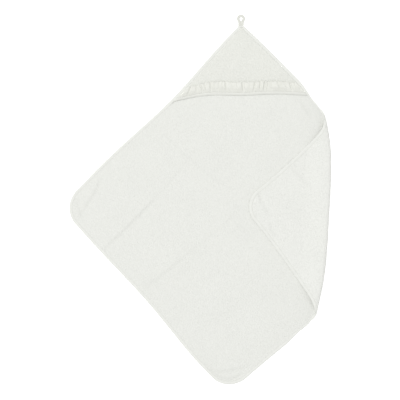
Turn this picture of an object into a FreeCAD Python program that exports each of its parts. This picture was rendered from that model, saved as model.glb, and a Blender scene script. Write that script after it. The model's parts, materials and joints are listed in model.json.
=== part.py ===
"""Hooded baby towel laid flat with one corner folded over, as a parametric FreeCAD document.

Frame: millimetres, +Z up from the surface that the towel lies on, +Y towards the hood's point
and its hanging loop, +X towards the folded corner. The origin is the centre of the footprint.
Lengths below are as laid: the cloth was cut 800 mm square and lies a little out of square.
"""

import FreeCAD
import Part
import Sketcher
import math
import os

from FreeCAD import Placement, Rotation, Vector

OUT = "parts"
DIMENSIONS = {
    # The towel's outline, from the hood's point as it would be if it weren't rounded
    "left_angle": 44.9,  # degrees, the upper left side from the centre line
    "right_angle": 43.4,
    "side_left": 804.0,  # hood's point to the left corner
    "bottom_x": -44.0,
    "bottom_y": -1165.0,
    "corner_radius": 70.0,
    "point_radius": 15.0,
    # The fold, and the corner that lies on the towel
    "fold_upper_run": 415.0,  # hood's point to the fold, along the upper right side
    "fold_lower_x": 248.0,
    "fold_lower_y": -919.0,
    "fold_radius": 9.0,
    "fold_gap": 0.2,  # keeps the panel clear of the corner once it is opened flat
    "fold_skew": 20.0,  # how far the cut edge climbs along the fold on its way round
    "flap_reach": 270.0,  # fold to the folded corner, measured square to the fold
    "flap_rise": 44.0,  # folded corner above the fold's middle
    "flap_slope": 80.0,  # length over which the folded corner comes down
    "flap_gap": 0.5,
    # Cloth and tape
    "terry": 3.5,
    "squeezed": 1.9,  # terry inside the binding
    "tape": 0.8,
    "binding": 11.0,  # width of the binding that shows
    "thread_inset": 9.3,
    "thread_width": 0.7,
    "thread_height": 0.35,
    # Hood
    "hood_depth": 226.0,
    "hood_rise": 8.0,  # how far the hood's mouth stands open
    "hood_gap": 0.1,
    "hood_tip": 4.0,
    "ruffle_depth": 30.0,
    "ruffle_thickness": 2.2,
    # Hanging loop
    "loop_eye_radius": 5.0,
    "loop_tape": 8.5,
    "loop_thickness": 1.6,
    "loop_centre": 14.0,  # hood's point to the middle of the eye
    "loop_leg": 15.0,  # width of the two legs side by side
    "loop_pivot": -2.4,  # where the loop bends, between the rounded point and the sharp one
    "loop_tail": -25.0,
    "loop_clearance": 0.3,  # between the loop's rolled end and its tails
    "tack_width": 10.0,
    "tack_length": 2.0,
    "tack_height": 0.6,
    "tack_inset": 13.0,
    # Centre of the footprint from the hood's point, measured once the model is built
    "centre_x": 0.0,
    "centre_y": 0.0,
}

doc = FreeCAD.newDocument("hooded_baby_towel")
dims = doc.addObject("Spreadsheet::Sheet", "Dims")
for row, (alias, value) in enumerate(DIMENSIONS.items(), start=1):
    dims.set(f"A{row}", alias)
    dims.set(f"B{row}", str(value))
    dims.setAlias(f"B{row}", alias)
doc.recompute()

# Expressions that several sub-parts share
LEFT = "(Dims.left_angle * 1 deg)"
RIGHT = "(Dims.right_angle * 1 deg)"
FOLD_UPPER_X = f"(Dims.fold_upper_run * sin{RIGHT})"
FOLD_UPPER_Y = f"(-Dims.fold_upper_run * cos{RIGHT})"
FOLD_RUN_X = f"({FOLD_UPPER_X} - Dims.fold_lower_x)"
FOLD_RUN_Y = f"({FOLD_UPPER_Y} - Dims.fold_lower_y)"
FOLD_HALF = f"(sqrt({FOLD_RUN_X} ^ 2 + {FOLD_RUN_Y} ^ 2) / 2)"
HOOD_SEAM = "(Dims.hood_depth - Dims.binding)"
STACK = "(Dims.terry + Dims.squeezed)"  # height of the binding where it holds two layers

# Corners run anticlockwise: x, y and the radius, if the corner is rounded
TOWEL = [
    ("0", "0", "Dims.point_radius"),
    (f"-Dims.side_left * sin{LEFT}", f"-Dims.side_left * cos{LEFT}", "Dims.corner_radius"),
    ("Dims.bottom_x", "Dims.bottom_y", "Dims.corner_radius"),
    ("Dims.fold_lower_x", "Dims.fold_lower_y", None),
    (FOLD_UPPER_X, FOLD_UPPER_Y, None),
]
HOOD = [
    ("0", "0", "Dims.point_radius"),
    (f"-Dims.hood_depth * tan{LEFT}", "-Dims.hood_depth", None),
    (f"Dims.hood_depth * tan{RIGHT}", "-Dims.hood_depth", None),
]
FLAP = [
    ("-Dims.flap_reach", "Dims.flap_rise", "Dims.corner_radius"),
    ("0", f"-{FOLD_HALF} + Dims.fold_skew", None),
    ("0", f"{FOLD_HALF} - Dims.fold_skew", None),
]


def number(expression):
    """The value of an expression, as a plain number."""
    value = dims.evalExpression(expression)
    return float(getattr(value, "Value", value))


def pin(sketch, line, end, x, y):
    """Holds one end of a line at a point given by two expressions."""
    for kind, axis, expression in (("DistanceX", -2, x), ("DistanceY", -1, y)):
        value = number(expression)
        if abs(value) < 1e-9:
            sketch.addConstraint(Sketcher.Constraint("PointOnObject", line, end, axis))
            continue
        ends = (-1, 1, line, end) if value > 0 else (line, end, -1, 1)
        index = sketch.addConstraint(Sketcher.Constraint(kind, *ends, abs(value)))
        sketch.setExpression(f"Constraints[{index}]", expression if value > 0 else f"-({expression})")


def drive(sketch, constraint, expression):
    """Adds a constraint whose value is an expression."""
    index = sketch.addConstraint(constraint)
    sketch.setExpression(f"Constraints[{index}]", expression)


def new_sketch(body, name, plane, lift):
    """A sketch on one of its body's origin planes, moved along that plane's normal."""
    sketch = body.newObject("Sketcher::SketchObject", name)
    origin = [f for f in body.Origin.OriginFeatures if f.Role == plane][0]
    sketch.AttachmentSupport = [(origin, "")]
    sketch.MapMode = "FlatFace"
    sketch.setExpression("AttachmentOffset.Base.z", lift)
    return sketch


def meet(a, b, c, d):
    """Where the line through a and b meets the line through c and d."""
    r, s = b - a, d - c
    return a + r * (((c - a).x * s.y - (c - a).y * s.x) / (r.x * s.y - r.y * s.x))


def outline(body, name, corners, insets=None, plane="XY_Plane", lift="0"):
    """A closed sketch through the corners. Each side, from a corner to the next, may be moved in."""
    sketch = new_sketch(body, name, plane, lift)
    count = len(corners)
    insets = insets or [None] * count
    at = [Vector(number(x), number(y), 0) for x, y, _ in corners]
    sides = []
    for i, inset in enumerate(insets):
        along = (at[(i + 1) % count] - at[i]).normalize()
        move = Vector(-along.y, along.x, 0) * (number(inset) if inset else 0)
        sides.append((at[i] + move, at[(i + 1) % count] + move))
    inner = at
    if any(insets):
        inner = [meet(*sides[i - 1], *sides[i]) for i in range(count)]
    guides = []
    if any(insets) or any(radius for _, _, radius in corners):
        for i in range(count):
            line = Part.LineSegment(at[i], at[(i + 1) % count])
            guides.append(sketch.addGeometry(line, True))
        for i in range(count):
            sketch.addConstraint(Sketcher.Constraint("Coincident", guides[i - 1], 2, guides[i], 1))
            pin(sketch, guides[i], 1, corners[i][0], corners[i][1])
    # Cut back each rounded corner to its tangent points
    starts, ends, arcs = [], [], {}
    for i, (_, _, radius) in enumerate(corners):
        into = (inner[i] - inner[i - 1]).normalize()
        out = (inner[(i + 1) % count] - inner[i]).normalize()
        cut = 0.0
        if radius:
            if insets[i]:
                radius = f"({radius} - {insets[i]})"
            turn = into.getAngle(out)
            cut = number(radius) * math.tan(turn / 2)
            centre = inner[i] - into * cut + Vector(-into.y, into.x, 0) * number(radius)
            first = math.atan2(-into.x, into.y)
            circle = Part.Circle(centre, Vector(0, 0, 1), number(radius))
            arcs[i] = (Part.ArcOfCircle(circle, first, first + turn), radius)
        ends.append(inner[i] - into * cut)
        starts.append(inner[i] + out * cut)
    lines = []
    for i in range(count):
        lines.append(sketch.addGeometry(Part.LineSegment(starts[i], ends[(i + 1) % count]), False))
    for i in range(count):
        if i in arcs:
            shape, radius = arcs[i]
            arc = sketch.addGeometry(shape, False)
            sketch.addConstraint(Sketcher.Constraint("Tangent", lines[i - 1], 2, arc, 1))
            sketch.addConstraint(Sketcher.Constraint("Tangent", arc, 2, lines[i], 1))
            drive(sketch, Sketcher.Constraint("Radius", arc, number(radius)), radius)
        else:
            sketch.addConstraint(Sketcher.Constraint("Coincident", lines[i - 1], 2, lines[i], 1))
        if not guides:
            pin(sketch, lines[i], 1, corners[i][0], corners[i][1])
        elif insets[i]:
            sketch.addConstraint(Sketcher.Constraint("Parallel", lines[i], guides[i]))
            gap = Sketcher.Constraint("Distance", lines[i], 1, guides[i], number(insets[i]))
            drive(sketch, gap, insets[i])
        else:
            for end in (1, 2):
                sketch.addConstraint(Sketcher.Constraint("PointOnObject", lines[i], end, guides[i]))
    return sketch


def new_body(label, folded=False):
    """A body placed from the hood's point, or in the fold's own frame: x out, y along the fold."""
    body = doc.addObject("PartDesign::Body", label)
    body.AllowCompound = True
    x, y = "-Dims.centre_x", "-Dims.centre_y"
    if folded:
        x += f" + ({FOLD_UPPER_X} + Dims.fold_lower_x) / 2"
        y += f" + ({FOLD_UPPER_Y} + Dims.fold_lower_y) / 2"
        body.Placement = Placement(Vector(0, 0, 0), Rotation(Vector(0, 0, 1), -1))
        body.setExpression("Placement.Rotation.Angle", f"-atan({FOLD_RUN_X} / {FOLD_RUN_Y})")
    body.setExpression("Placement.Base.x", x)
    body.setExpression("Placement.Base.y", y)
    return body


def pad(body, sketch, length, midplane=False):
    """Pads a sketch along its normal, or by half each way."""
    feature = body.newObject("PartDesign::Pad", f"{sketch.Name}_pad")
    feature.Profile = sketch
    feature.Midplane = midplane
    feature.setExpression("Length", length)
    sketch.Visibility = False
    doc.recompute()
    return feature


def pocket(body, sketch, length):
    """Cuts a sketch into its body, against its normal."""
    feature = body.newObject("PartDesign::Pocket", f"{sketch.Name}_pocket")
    feature.Profile = sketch
    feature.setExpression("Length", length)
    sketch.Visibility = False
    doc.recompute()
    return feature


def boolean(kind, label, *shapes):
    """A Part boolean of two or more objects."""
    feature = doc.addObject(f"Part::{kind}", label)
    if kind in ("Cut", "Common"):
        feature.Base, feature.Tool = shapes
    else:
        feature.Shapes = list(shapes)
    doc.recompute()
    return feature


def around(edge, fold="Dims.fold_gap"):
    """The insets of the towel's five sides: the same all round, and its own at the fold."""
    return [edge, edge, edge, fold, edge]


def plate(label, corners, insets, bottom, height, folded=False):
    """A flat plate over an outline."""
    body = new_body(label, folded)
    pad(body, outline(body, f"{label}_outline", corners, insets, lift=bottom), height)
    return body


# ---- Hood: arched sections across it, which widen from the point to the mouth ----


def arch(body, name, along, bottom, thickness):
    """One section of the hood, at a distance from its point, standing on the towel."""
    left = f"-(({along}) * tan{LEFT} - Dims.binding / cos{LEFT})"
    right = f"(({along}) * tan{RIGHT} - Dims.binding / cos{RIGHT})"
    rise = f"Dims.hood_rise * (({along}) - {ARCH_START}) / ({HOOD_SEAM} - {ARCH_START})"
    low, high = f"({bottom})", f"({bottom}) + {rise}"
    points = [(left, low), (f"{left} / 2", high), (f"{right} / 2", high), (right, low)]
    upper = [(x, f"{z} + ({thickness})") for x, z in reversed(points)]
    corners = [(x, z, None) for x, z in points + upper]
    return outline(body, name, corners, plane="XZ_Plane", lift=along)


ARCH_START = f"(Dims.binding / sin{RIGHT} + Dims.hood_tip)"
HOOD_BASE = "Dims.terry + Dims.hood_gap"
HOOD_TOP = f"{HOOD_BASE} + Dims.terry"


def arched(body, name, start, end, bottom, thickness, kind="Additive"):
    """A ruled loft between two sections of the hood."""
    first = arch(body, f"{name}_near", start, bottom, thickness)
    last = arch(body, f"{name}_far", end, bottom, thickness)
    feature = body.newObject(f"PartDesign::{kind}Loft", name)
    feature.Profile = first
    feature.Sections = [last]
    feature.Ruled = True
    first.Visibility = last.Visibility = False
    doc.recompute()
    return feature


def make_hood_panel():
    """Terry triangle: squeezed edges inside the side binding and the band, full pile between."""
    sides = ["Dims.tape", None, "Dims.tape"]
    edge = plate("hood_edge", HOOD, sides, "Dims.tape + Dims.squeezed", "Dims.squeezed")
    inner = outline(edge, "hood_edge_inner", HOOD, ["Dims.binding", None, "Dims.binding"], lift=STACK)
    pocket(edge, inner, "Dims.terry")
    field = new_body("hood_field")
    arched(field, "hood_field_loft", ARCH_START, HOOD_SEAM, HOOD_BASE, "Dims.terry")
    mouth = "Dims.hood_depth - Dims.tape"
    arched(field, "hood_mouth_loft", HOOD_SEAM, mouth, f"{HOOD_BASE} + Dims.tape", "Dims.squeezed")
    return boolean("MultiFuse", "hood_cloth", edge, field)


def make_hood_band(hood):
    """The tape that binds the hood's mouth, folded round its edge."""
    band = new_body("hood_band_blank")
    arched(band, "hood_band_loft", HOOD_SEAM, "Dims.hood_depth", HOOD_BASE, "Dims.terry")
    return boolean("Cut", "hood_band", band, hood)


def make_ruffle():
    """The gathered frill that stands out of the band and lies on the hood."""
    body = new_body("ruffle")
    upper = f"{HOOD_SEAM} - Dims.ruffle_depth"
    arched(body, "ruffle_loft", upper, HOOD_SEAM, f"{HOOD_TOP} + Dims.hood_gap", "Dims.ruffle_thickness")
    return body


def make_band_topstitch():
    """The row of stitches along the band."""
    body = new_body("band_topstitch")
    start = f"Dims.hood_depth - Dims.thread_inset"
    arched(body, "band_thread_loft", start, f"{start} + Dims.thread_width", HOOD_TOP, "Dims.thread_height")
    return body


# ---- The towel's own layer ----


def make_towel_cloth():
    """Terry panel up to the fold: full pile inside the binding, squeezed within it."""
    field = plate("towel_field", TOWEL, around("Dims.binding"), "0", "Dims.terry")
    edge = plate("towel_edge", TOWEL, around("Dims.tape"), "Dims.tape", "Dims.squeezed")
    return boolean("MultiFuse", "towel_cloth", field, edge)


def make_edge_binding(cloth, hood, tails):
    """Tape folded round the towel's edge, taller beside the hood, where it holds both layers."""
    blank = plate("binding_blank", TOWEL, around(None), "0", "Dims.terry")
    raised = outline(blank, "binding_hood", HOOD, lift="Dims.terry")
    pad(blank, raised, "Dims.squeezed")
    inner = outline(blank, "binding_inner", TOWEL, around("Dims.binding"), lift=STACK)
    pocket(blank, inner, STACK)
    without_cloth = boolean("Cut", "binding_round_towel", blank, cloth)
    without_hood = boolean("Cut", "binding_round_hood", without_cloth, hood)
    return boolean("Cut", "edge_binding", without_hood, tails)


def thread_ring(name, corners, sides, bottom, height, folded=False):
    """A thin raised line at the stitching's distance from the edge."""
    body = new_body(name, folded)
    outer = outline(body, f"{name}_outer", corners, sides("Dims.thread_inset"), lift=bottom)
    pad(body, outer, height)
    inset = "(Dims.thread_inset + Dims.thread_width)"
    inner = outline(body, f"{name}_inner", corners, sides(inset), lift=f"{bottom} + {height}")
    pocket(body, inner, height)
    return body


def make_edge_topstitch():
    """The row of stitches round the binding, on both of its levels."""
    low = thread_ring("thread_low", TOWEL, around, "Dims.terry", "Dims.thread_height")
    hood = plate("thread_hood_clear", HOOD, None, "Dims.terry", "Dims.terry")
    high = thread_ring("thread_high", HOOD, lambda e: [e, None, e], STACK, "Dims.thread_height")
    lower = boolean("Cut", "thread_lower", low, hood)
    return boolean("MultiFuse", "edge_topstitch", lower, high)


# ---- The folded corner, in the fold's own frame ----


def slab(label, bottom, thickness):
    """A bent slab that leaves the fold at its top and comes down onto the towel."""
    body = new_body(label, folded=True)
    low = "Dims.terry + Dims.flap_gap"
    high = "2 * Dims.fold_radius - Dims.terry"
    under = [("-Dims.flap_reach", low), ("-Dims.flap_slope", low), ("0", high)]
    corners = [(x, f"{z} + ({bottom})", None) for x, z in under]
    corners += [(x, f"{z} + ({bottom}) + ({thickness})", None) for x, z in reversed(under)]
    profile = outline(body, f"{label}_profile", corners, plane="XZ_Plane")
    pad(body, profile, f"{FOLD_HALF} * 3", midplane=True)
    return body


def flap_prism(label, edge):
    """An upright prism over the folded corner."""
    return plate(label, FLAP, [edge, None, edge], "0", "4 * Dims.fold_radius", folded=True)


def make_corner_flap(full):
    """The terry of the folded corner, with its squeezed edge."""
    thin = slab("flap_slab_squeezed", "Dims.tape", "Dims.squeezed")
    field = boolean("Common", "flap_field", full, flap_prism("flap_field_prism", "Dims.binding"))
    edge = boolean("Common", "flap_edge", thin, flap_prism("flap_edge_prism", "Dims.tape"))
    return boolean("MultiFuse", "corner_flap", field, edge)


def make_flap_binding(full, flap):
    """The tape round the folded corner."""
    blank = boolean("Common", "flap_binding_blank", full, flap_prism("flap_binding_prism", None))
    return boolean("Cut", "flap_binding", blank, flap)


def make_flap_topstitch():
    """The row of stitches round the folded corner."""
    cover = slab("flap_slab_thread", "Dims.terry", "Dims.thread_height")
    height = "4 * Dims.fold_radius"
    ring = thread_ring("flap_thread_prism", FLAP, lambda e: [e, None, e], "0", height, folded=True)
    return boolean("Common", "flap_topstitch", cover, ring)


def make_fold_tube():
    """The half tube of cloth at the fold, longer than the fold."""
    body = new_body("fold_tube", folded=True)
    sketch = new_sketch(body, "fold_tube_profile", "XZ_Plane", "0")
    r, t, g = (number(f"Dims.{n}") for n in ("fold_radius", "terry", "fold_gap"))
    up = Vector(0, 0, 1)
    centre = Vector(0, r, 0)
    outer = sketch.addGeometry(Part.ArcOfCircle(Part.Circle(centre, up, r), -math.pi / 2, math.pi / 2))
    inner = sketch.addGeometry(Part.ArcOfCircle(Part.Circle(centre, up, r - t), -math.pi / 2, math.pi / 2))
    path = [Vector(0, 0, 0), Vector(-g, 0, 0), Vector(-g, t, 0), Vector(0, t, 0)]
    lines = [sketch.addGeometry(Part.LineSegment(a, b)) for a, b in zip(path, path[1:])]
    top = sketch.addGeometry(Part.LineSegment(Vector(0, 2 * r - t, 0), Vector(0, 2 * r, 0)))
    joints = [(outer, 1, lines[0], 1), (lines[0], 2, lines[1], 1), (lines[1], 2, lines[2], 1)]
    joints += [(lines[2], 2, inner, 1), (inner, 2, top, 1), (top, 2, outer, 2), (outer, 3, inner, 3)]
    for joint in joints:
        sketch.addConstraint(Sketcher.Constraint("Coincident", *joint))
    for line in (lines[0], lines[2]):
        sketch.addConstraint(Sketcher.Constraint("Horizontal", line))
    sketch.addConstraint(Sketcher.Constraint("Vertical", lines[1]))
    sketch.addConstraint(Sketcher.Constraint("PointOnObject", top, 1, -2))
    sketch.addConstraint(Sketcher.Constraint("PointOnObject", outer, 3, -2))
    sketch.addConstraint(Sketcher.Constraint("PointOnObject", outer, 2, -2))
    sketch.addConstraint(Sketcher.Constraint("Coincident", outer, 1, -1, 1))
    drive(sketch, Sketcher.Constraint("Radius", outer, r), "Dims.fold_radius")
    drive(sketch, Sketcher.Constraint("DistanceY", lines[1], 1, lines[1], 2, t), "Dims.terry")
    drive(sketch, Sketcher.Constraint("DistanceX", lines[0], 2, -1, 1, g), "Dims.fold_gap")
    pad(body, sketch, f"{FOLD_HALF} * 3", midplane=True)
    return body


def fold_strip(label, lower, upper):
    """A stretch of the fold, leaning as the cut edges do when they go round it."""
    body = new_body(label, folded=True)
    top = "2 * Dims.fold_radius"
    corners = []
    for y, z in ((lower, "0"), (upper, "0"), (upper, top), (lower, top)):
        sign = "-" if y.startswith("-") else "+"
        corners.append((f"{sign}({y.lstrip('-')} - Dims.fold_skew * ({z}) / ({top}))", z, None))
    strip = outline(body, f"{label}_outline", corners, plane="YZ_Plane", lift="-Dims.fold_gap")
    pad(body, strip, "Dims.fold_radius + 2 * Dims.fold_gap")
    return body


def make_fold():
    """The cloth and the two ends of the binding that go round the fold."""
    tube = make_fold_tube()
    upper_run = f"Dims.binding / {side_angle_sine('upper')}"
    lower_run = f"Dims.binding / {side_angle_sine('lower')}"
    strips = {
        "fold_roll": (f"-({FOLD_HALF} - {lower_run})", f"({FOLD_HALF} - {upper_run})"),
        "fold_binding_upper": (f"({FOLD_HALF} - {upper_run})", FOLD_HALF),
        "fold_binding_lower": (f"-{FOLD_HALF}", f"-({FOLD_HALF} - {lower_run})"),
    }
    return [
        boolean("Common", name, tube, fold_strip(f"{name}_strip", *ends)) for name, ends in strips.items()
    ]


def side_angle_sine(end):
    """The sine of the angle at which a side of the towel meets the fold."""
    if end == "upper":
        x, y = f"sin{RIGHT}", f"cos{RIGHT}"
    else:
        x, y = "(Dims.fold_lower_x - Dims.bottom_x)", "(Dims.bottom_y - Dims.fold_lower_y)"
    cross = f"abs({x} * {FOLD_RUN_Y} + {y} * {FOLD_RUN_X})"
    return f"({cross} / sqrt({x} ^ 2 + {y} ^ 2) / (2 * {FOLD_HALF}))"


# ---- Hanging loop ----


LOOP_BOTTOM = "(Dims.tape + Dims.squeezed - Dims.loop_thickness / 2)"
HALF_LEG = "Dims.loop_leg / 2"


def rectangle(left, right, low, high):
    return [(left, low, None), (right, low, None), (right, high, None), (left, high, None)]


def make_loop_tails():
    """The two ends of the loop's tape, caught between the layers at the hood's point."""
    end = "Dims.loop_pivot - Dims.loop_thickness / 2 - Dims.loop_clearance"
    corners = rectangle(f"-{HALF_LEG}", HALF_LEG, "Dims.loop_tail", end)
    return plate("loop_tails", corners, None, LOOP_BOTTOM, "Dims.loop_thickness")


def make_hanging_loop():
    """The loop of folded tape with its round eye."""
    eye_bottom = "Dims.loop_centre - Dims.loop_eye_radius"
    corners = rectangle(f"-{HALF_LEG}", HALF_LEG, "Dims.loop_pivot", eye_bottom)
    body = plate("hanging_loop", corners, None, LOOP_BOTTOM, "Dims.loop_thickness")
    half = "Dims.loop_thickness / 2"
    middle = f"{LOOP_BOTTOM} + {half}"
    rolled_end = circle(body, "loop_rolled_end", "Dims.loop_pivot", middle, half, "YZ_Plane")
    pad(body, rolled_end, "Dims.loop_leg", midplane=True)
    outer = "(Dims.loop_eye_radius + Dims.loop_tape)"
    head = circle(body, "loop_head", "0", "Dims.loop_centre", outer, lift=LOOP_BOTTOM)
    pad(body, head, "Dims.loop_thickness")
    top = f"{LOOP_BOTTOM} + Dims.loop_thickness"
    eye = circle(body, "loop_eye", "0", "Dims.loop_centre", "Dims.loop_eye_radius", lift=top)
    pocket(body, eye, "Dims.loop_thickness")
    return body


def circle(body, name, x, y, radius, plane="XY_Plane", lift="0"):
    """A sketch of one circle."""
    sketch = new_sketch(body, name, plane, lift)
    shape = Part.Circle(Vector(number(x), number(y), 0), Vector(0, 0, 1), number(radius))
    index = sketch.addGeometry(shape, False)
    pin(sketch, index, 3, x, y)
    drive(sketch, Sketcher.Constraint("Radius", index, number(radius)), radius)
    return sketch


def make_bar_tack():
    """The block of thread that holds the loop's tails."""
    half = "Dims.tack_width / 2"
    low = "-Dims.tack_inset - Dims.tack_length / 2"
    corners = rectangle(f"-{half}", half, low, "-Dims.tack_inset + Dims.tack_length / 2")
    return plate("loop_bar_tack", corners, None, STACK, "Dims.tack_height")


def make_all():
    """Every sub-part, by the name of its file."""
    tails = make_loop_tails()
    towel_cloth = make_towel_cloth()
    hood_cloth = make_hood_panel()
    full = slab("flap_slab", "0", "Dims.terry")
    flap = make_corner_flap(full)
    made = [
        boolean("Cut", "towel_panel", towel_cloth, tails),
        boolean("Cut", "hood_panel", hood_cloth, tails),
        make_edge_binding(towel_cloth, hood_cloth, tails),
        make_edge_topstitch(),
        make_hood_band(hood_cloth),
        make_band_topstitch(),
        make_ruffle(),
        tails,
        make_bar_tack(),
        make_hanging_loop(),
        flap,
        make_flap_binding(full, flap),
        make_flap_topstitch(),
    ]
    return {part.Label: part for part in made + make_fold()}


def set_dimension(alias, value):
    """Writes one of the sheet's cells."""
    dims.set(dims.getCellFromAlias(alias), repr(round(value, 4)))


def check(parts):
    """Stops if any object failed, or a sub-part isn't made of sound solids."""
    for item in doc.Objects:
        if {"Invalid", "Error"} & set(item.State):
            raise RuntimeError(f"{item.Label} failed: {item.State}")
    for name, part in parts.items():
        shape = part.Shape
        if shape.isNull() or not shape.isValid() or not shape.Solids:
            raise RuntimeError(f"{name} is not a sound solid")


sub_parts = make_all()
check(sub_parts)
box = FreeCAD.BoundBox()
for part in sub_parts.values():
    box.add(part.Shape.BoundBox)
set_dimension("centre_x", box.Center.x)
set_dimension("centre_y", box.Center.y)
doc.recompute()
check(sub_parts)

os.makedirs(OUT, exist_ok=True)
for name, part in sub_parts.items():
    part.Shape.exportStep(os.path.join(OUT, f"{name}.step"))
    print(f"{name}: {len(part.Shape.Solids)} solid(s), {part.Shape.Volume:.1f} mm3")
hinge_x = number(f"({FOLD_UPPER_X} + Dims.fold_lower_x) / 2 - Dims.centre_x")
hinge_y = number(f"({FOLD_UPPER_Y} + Dims.fold_lower_y) / 2 - Dims.centre_y")
turn = math.atan2(number(FOLD_RUN_X), number(FOLD_RUN_Y))
print(f"fold hinge at ({hinge_x:.3f}, {hinge_y:.3f}), axis ({math.sin(turn):.6f}, {math.cos(turn):.6f})")
print(f"hood's point at ({-number('Dims.centre_x'):.3f}, {-number('Dims.centre_y'):.3f})")
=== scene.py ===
"""Hooded baby towel: its looks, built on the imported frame.

Metres, +Z up from the surface that the towel lies on, +Y towards the hood's point, +X towards the
corner that is folded over. Every piece of the towel starts as a place on the flat cut cloth,
(across, down) from the hood's point along the two sides that meet there. lay() puts that place
where the cloth lies, and fold_over() turns the corner over.
"""

import json
import math

import bmesh
import bpy
import numpy as np
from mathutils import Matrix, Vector


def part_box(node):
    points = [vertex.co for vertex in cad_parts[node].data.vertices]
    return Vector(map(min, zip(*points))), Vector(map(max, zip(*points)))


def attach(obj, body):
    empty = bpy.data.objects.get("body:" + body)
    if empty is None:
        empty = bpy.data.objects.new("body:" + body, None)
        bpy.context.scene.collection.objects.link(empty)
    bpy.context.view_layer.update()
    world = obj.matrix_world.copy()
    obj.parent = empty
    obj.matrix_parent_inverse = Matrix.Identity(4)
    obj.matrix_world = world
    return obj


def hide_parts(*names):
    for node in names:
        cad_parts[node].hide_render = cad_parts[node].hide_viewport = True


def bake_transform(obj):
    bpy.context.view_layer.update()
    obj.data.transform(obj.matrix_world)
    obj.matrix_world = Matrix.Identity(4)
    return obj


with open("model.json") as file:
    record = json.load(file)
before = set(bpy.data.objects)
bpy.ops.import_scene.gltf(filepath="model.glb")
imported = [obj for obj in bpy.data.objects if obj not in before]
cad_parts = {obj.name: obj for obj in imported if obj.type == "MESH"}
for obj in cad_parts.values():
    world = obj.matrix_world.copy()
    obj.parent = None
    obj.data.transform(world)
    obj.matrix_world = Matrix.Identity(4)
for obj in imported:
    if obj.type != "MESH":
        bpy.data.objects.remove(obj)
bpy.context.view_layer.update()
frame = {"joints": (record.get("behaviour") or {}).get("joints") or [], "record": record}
rng = np.random.default_rng(7)

# ---- Sizes and places from the frame ----

joints = {joint["name"]: joint for joint in frame["joints"]}
mounts = {mount["name"]: mount for mount in frame["record"]["mounts"]}
HINGE = np.array(joints["corner_fold"]["pos_m"])
ALONG = np.array(joints["corner_fold"]["axis"])
ALONG = ALONG / np.linalg.norm(ALONG)
OUT = np.array([ALONG[1], -ALONG[0], 0.0])
EYE_OUT = 0.014  # the hood's point to the middle of the loop's eye
POINT = np.array(mounts["hook_eye"]["pos_m"])[:2] - (0, EYE_OUT)
PIVOT = np.array(joints["loop_swing"]["pos_m"])

# ---- Driving dimensions ----

SIDE = 0.8  # the towel's cut side
CORNER = 0.07  # its corners' radius
POINT_RADIUS = 0.015
TERRY = 0.0035
SQUEEZED = 0.0019  # terry inside the binding
TAPE = 0.0008
BINDING = 0.011  # width of the binding that shows
SEAM = 0.0093  # the stitching's distance from the edge
STITCH = 0.0034  # stitch pitch
THREAD = 0.00075  # width of a stitch
RADIUS = HINGE[2]  # the fold's outer radius
ROLL = RADIUS - TERRY / 2
HALF_FOLD = 0.3  # from the hinge to about each end of the fold
FLAP_SLOPE = 0.08  # length over which the folded corner comes down
FLAP_GAP = 0.0005
DRAW = 0.11  # width of cloth on each side of the fold that the bowed fold pulls along
HOOD_LEFT = 0.334  # where the hood's mouth meets the left side, from the point
HOOD_RIGHT = 0.312
HOOD_RISE = 0.0032
RUFFLE = 0.030
STACK = TERRY + SQUEEZED  # height of the binding beside the hood

# Which corner of the cut square, and its radius
CUT_CORNERS = [(0, 0, POINT_RADIUS), (1, 0, CORNER), (0, 1, CORNER), (1, 1, CORNER)]

# The cut square's other corners, as the cloth lies before its right corner is folded
LEFT = POINT + (-0.5658, -0.5770)
BOTTOM = POINT + (-0.0378, -1.1599)
RIGHT = HINGE[:2] + OUT[:2] * (0.2744 + math.pi * ROLL) + ALONG[:2] * 0.0298


# ---- Where the cloth lies ----


def smooth(x):
    """Eases from 0 to 1."""
    x = np.clip(x, 0, 1)
    return x * x * (3 - 2 * x)


def length_along(points):
    """How far along a line of points each one is."""
    steps = np.linalg.norm(np.diff(points, axis=0), axis=1)
    return np.concatenate([[0], np.cumsum(steps)])


def side(start, end, share, bows, shoulder=0.0, place=0.5):
    """Points along one side, bowed out by a few half waves, with a shoulder where the fold pulls it."""
    run = end - start
    out = np.array([-run[1], run[0]]) / np.linalg.norm(run)
    if out @ ((start + end) / 2 - (LEFT + RIGHT) / 2) < 0:
        out = -out
    bow = sum(size * np.sin((k + 1) * math.pi * share) for k, size in enumerate(bows))
    bow = bow + shoulder * np.exp(-(((share - place) / 0.05) ** 2))
    return start + share[:, None] * run + bow[:, None] * out


def lay(cut):
    """Where places on the cut cloth lie before the corner is folded: a patch between four sides."""
    u, v = (cut / SIDE).T
    upper_right = side(POINT, RIGHT, u, (0.0069, 0.0052, -0.0020, 0.0012), 0.0161, 0.478)
    lower_left = side(LEFT, BOTTOM, u, (0.0011, -0.0032, 0.0037, -0.0008))
    upper_left = side(POINT, LEFT, v, (-0.0063, -0.0042, 0.0027, 0.0012))
    lower_right = side(RIGHT, BOTTOM, v, (0.0144, -0.0009, -0.0041, -0.0005), 0.0127, 0.569)
    u, v = u[:, None], v[:, None]
    corners = (1 - u) * (1 - v) * POINT + u * (1 - v) * RIGHT + (1 - u) * v * LEFT + u * v * BOTTOM
    return (1 - v) * upper_right + v * lower_left + (1 - u) * upper_left + u * lower_right - corners


def bend_at(flat):
    """Half the fold's width, which opens towards its ends, and the length of cloth round it."""
    s = (flat - HINGE[:2]) @ ALONG[:2] / HALF_FOLD
    wide = RADIUS + np.where(s > 0, 0.0024, 0.0034) * smooth((np.abs(s) - 0.65) / 0.5)
    return wide, math.pi * np.sqrt(((wide - TERRY / 2) ** 2 + ROLL**2) / 2)


def turn_of(flat):
    """How far round the fold a place has gone: 0 on the towel, half a turn on the folded corner."""
    return np.clip((flat - HINGE[:2]) @ OUT[:2] / bend_at(flat)[1], 0, 1) * math.pi


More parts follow.
